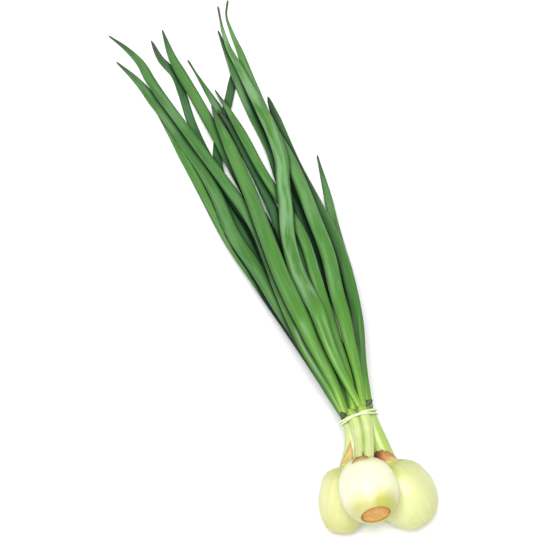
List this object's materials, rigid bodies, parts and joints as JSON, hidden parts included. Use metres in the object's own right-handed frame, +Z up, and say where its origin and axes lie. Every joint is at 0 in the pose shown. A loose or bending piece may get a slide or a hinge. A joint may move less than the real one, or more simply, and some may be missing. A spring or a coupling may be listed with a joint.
{
  "type": "spring onion bunch",
  "caption": "Bunch of spring onions tied at the neck with a thin rubber band, lying down, with pale round bulbs and a fan of long hollow green leaves.",
  "frame": {"origin": "on the ground, under the middle of the bunch's box", "axes": "+Y from the bulbs to the leaf tips, +Z up, +X to the right when looking along +Y"},
  "size_m": [0.1124, 0.4303, 0.0714],
  "materials": {
    "onion_skin": "moist pale onion skin, cream shading to yellow green, satin; leather stands in for plant flesh",
    "onion_leaf": "hollow green leaf with a thin wax bloom and fine veins, satin; leather stands in for plant flesh",
    "root_cork": "dry brown root plate, matte; leather stands in for cork",
    "band_rubber": "thin pale rubber, satin"
  },
  "bodies": {
    "root": {"bulb_left": "onion_skin", "bulb_middle": "onion_skin", "bulb_right": "onion_skin", "root_plate_left": "root_cork", "root_plate_middle": "root_cork", "root_plate_right": "root_cork", "leaves_left": "onion_leaf", "leaves_middle": "onion_leaf", "leaves_right": "onion_leaf", "rubber_band": "band_rubber"}
  },
  "joints": []
}
